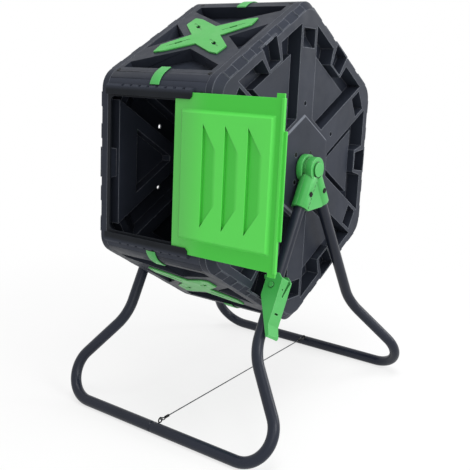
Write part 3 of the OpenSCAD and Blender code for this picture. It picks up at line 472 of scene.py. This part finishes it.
def wire_rope():
    """Dark twisted steel wire: brighter and darker bands where the strands cross the rope, a
    painted highlight on the strands and painted shade between them, far wider apart than the real
    ones."""
    material, tree, shader = new_material("twisted_dark_steel_wire")
    place = add(tree, "ShaderNodeTexCoord").outputs["Object"]
    lay = add(tree, "ShaderNodeTexWave", {"wave_type": "BANDS", "bands_direction": "DIAGONAL"},
              {"Vector": place, "Scale": per_metre(ROPE_SPACING_MM), "Distortion": 0.0})
    # Painted highlight on the strands and painted shade between them
    ramp = add(tree, "ShaderNodeValToRGB", None, {"Fac": lay.outputs["Fac"]})
    for stop, colour in zip(ramp.color_ramp.elements, ("#1d1e20", "#4a4c50")):
        stop.color = linear(colour)
    tree.links.new(ramp.outputs["Color"], shader.inputs["Base Color"])
    bump = add(tree, "ShaderNodeBump", None,
               {"Strength": 0.8, "Distance": 0.4 * MM, "Height": lay.outputs["Fac"]})
    tree.links.new(bump.outputs["Normal"], shader.inputs["Normal"])
    shader.inputs["Metallic"].default_value = 0.8
    shader.inputs["Roughness"].default_value = 0.4
    return material


FINISHES = {
    "slate_plastic": slate_plastic,
    "green_plastic": green_plastic,
    "pale_green_plastic": pale_green_plastic,
    "powder_coated_tube": powder_coat,
    "zinc_plated_steel": zinc_plate,
    "black_steel": black_zinc,
    "steel_cable": wire_rope,
    "bush_plastic": bush_plastic,
}


def dress_nodes():
    """Gives every CAD node the finish of its material slot, and some their own."""
    made = {slot: make() for slot, make in FINISHES.items()}
    for entry in frame["record"]["subparts"]:
        mesh = frame["nodes"][entry["node"]].data
        mesh.materials.clear()
        mesh.materials.append(made[entry["material_slot"]])
    own_finishes = {
        door_plastic(): ("sliding_door",),
        ribbed_slate(): ("right_end_panel", "left_end_panel"),
        front_slate(): ("front_panel", "upper_door_rail", "lower_door_rail"),
        made["green_plastic"]: ("right_axle_cap", "left_axle_cap"),
    }
    for finish, names in own_finishes.items():
        for name in names:
            frame["nodes"][name].data.materials[0] = finish


def soften_edges(piece, radius_mm):
    """Rounds the sharp edges of a moulded or turned piece, as its tool forms them."""
    weld = piece.modifiers.new("joined_faces", "WELD")
    weld.merge_threshold = WELD_GAP
    edge = piece.modifiers.new("rounded_edges", "BEVEL")
    edge.width = radius_mm * MM
    edge.segments = EDGE_SEGMENTS
    edge.limit_method = "ANGLE"
    edge.angle_limit = SHARP_ANGLE
    edge.use_clamp_overlap = True
    edge.harden_normals = True


def shallow_panel(name, angle):
    """A pocketed panel of the drum, its pocket floors as far up as the photograph shows them."""
    turn = math.radians(angle - FRONT_ANGLE + DRUM_TILT)
    outward = Vector((0, -math.cos(turn), -math.sin(turn)))
    mesh = frame["nodes"][name].data.copy()
    for vertex in mesh.vertices:
        if (vertex.co - AXLE).dot(outward) < FLOOR_BELOW:
            vertex.co += outward * FLOOR_LIFT
            if abs(vertex.co.x) > FLOOR_SIDE:
                vertex.co.x += math.copysign(SIDE_DRAFT * FLOOR_LIFT, vertex.co.x)
    piece = bpy.data.objects.new(name + "_moulding", mesh)
    bpy.context.scene.collection.objects.link(piece)
    soften_edges(piece, PANEL_EDGE)
    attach(piece, "drum")
    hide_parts(name)


def seen_rays(tree):
    """1 for a ray that sees the background directly, in a reflection or through something."""
    path = add(tree, "ShaderNodeLightPath")
    seen = add(tree, "ShaderNodeMath", {"operation": "MAXIMUM"},
               {0: path.outputs["Is Camera Ray"], 1: path.outputs["Is Glossy Ray"]})
    seen_through = add(tree, "ShaderNodeMath", {"operation": "MAXIMUM"},
                       {0: seen.outputs["Value"], 1: path.outputs["Is Transmission Ray"]})
    return seen_through.outputs["Value"]


def studio_white():
    """White card that keeps a soft shadow near the object and glows plain white further off."""
    material, tree, shader = new_material("white_card")
    shader.inputs["Base Color"].default_value = linear("#f6f6f6")
    shader.inputs["Roughness"].default_value = 0.9
    shader.inputs["Specular IOR Level"].default_value = 0.0
    place = add(tree, "ShaderNodeNewGeometry").outputs["Position"]
    reach = add(tree, "ShaderNodeVectorMath", {"operation": "LENGTH"}, {0: place})
    glow_share = add(tree, "ShaderNodeMapRange", {"interpolation_type": "SMOOTHSTEP"},
                     {"Value": reach.outputs["Value"], "From Min": SHADOW_REACH[0],
                      "From Max": SHADOW_REACH[1], "To Min": SHADOW_GLOW, "To Max": 1.0})
    share = add(tree, "ShaderNodeMath", {"operation": "MULTIPLY"},
                {0: seen_rays(tree), 1: glow_share.outputs["Result"]})
    glow = add(tree, "ShaderNodeEmission", None, {"Color": linear("#ffffff"), "Strength": 1.0})
    mix = add(tree, "ShaderNodeMixShader", None, {"Fac": share.outputs["Value"]})
    tree.links.new(shader.outputs["BSDF"], mix.inputs[1])
    tree.links.new(glow.outputs["Emission"], mix.inputs[2])
    tree.links.new(mix.outputs["Shader"], tree.nodes["Material Output"].inputs["Surface"])
    return material


def studio_floor():
    """A flat white floor under the object."""
    far = FLOOR_REACH
    corners = [(-far, -far, 0), (far, -far, 0), (far, far, 0), (-far, far, 0)]
    mesh = bpy.data.meshes.new("studio_floor")
    mesh.from_pydata(corners, [], [(0, 1, 2, 3)])
    mesh.materials.append(studio_white())
    floor = bpy.data.objects.new("studio_floor", mesh)
    bpy.context.scene.collection.objects.link(floor)


def studio_room():
    """A room that is plain white to the eye and lights the object evenly and softly."""
    world = bpy.data.worlds.new("studio_world")
    world.use_nodes = True
    tree = world.node_tree
    strength = add(tree, "ShaderNodeMapRange", None,
                   {"Value": seen_rays(tree), "To Min": ROOM_LIGHT, "To Max": 1.0})
    background = tree.nodes["Background"]
    background.inputs["Color"].default_value = linear("#ffffff")
    tree.links.new(strength.outputs["Result"], background.inputs["Strength"])
    bpy.context.scene.world = world


def studio_lamp(name, place, target, size, watts):
    """A soft square lamp that faces a point."""
    data = bpy.data.lights.new(name, "AREA")
    data.shape = "SQUARE"
    data.size = size
    data.energy = watts
    lamp = bpy.data.objects.new(name, data)
    lamp.location = place
    away = Vector(place) - Vector(target)
    lamp.rotation_euler = away.to_track_quat("Z", "Y").to_euler()
    bpy.context.scene.collection.objects.link(lamp)


def photo_camera():
    """The photograph's viewpoint and lens."""
    azimuth, elevation, roll = CAMERA_AZIMUTH, CAMERA_ELEVATION, CAMERA_ROLL
    back = Vector((math.sin(azimuth) * math.cos(elevation),
                   -math.cos(azimuth) * math.cos(elevation), math.sin(elevation)))
    right = Vector((math.cos(azimuth), math.sin(azimuth), 0))
    up = back.cross(right)
    rolled_right = right * math.cos(roll) + up * math.sin(roll)
    rolled_up = up * math.cos(roll) - right * math.sin(roll)
    data = bpy.data.cameras.new("photo_camera")
    data.sensor_width = SENSOR_MM
    data.lens = SENSOR_MM * FOCAL_PIXELS / PICTURE_PIXELS
    data.clip_end = CAMERA_REACH
    eye = bpy.data.objects.new("photo_camera", data)
    turn = Matrix((rolled_right, rolled_up, back)).transposed().to_4x4()
    eye.matrix_world = Matrix.Translation(CAMERA_PLACE + AXLE) @ turn
    bpy.context.scene.collection.objects.link(eye)
    bpy.context.scene.camera = eye


bpy.context.scene.view_settings.view_transform = "Standard"
dress_nodes()
for node_name, edge_radius in EDGE_RADII.items():
    soften_edges(frame["nodes"][node_name], edge_radius)
for panel_name, panel_angle in POCKETED_PANELS.items():
    shallow_panel(panel_name, panel_angle)
studio_floor()
studio_room()
for lamp_name, lamp_facts in LAMPS.items():
    studio_lamp(lamp_name, *lamp_facts)
photo_camera()
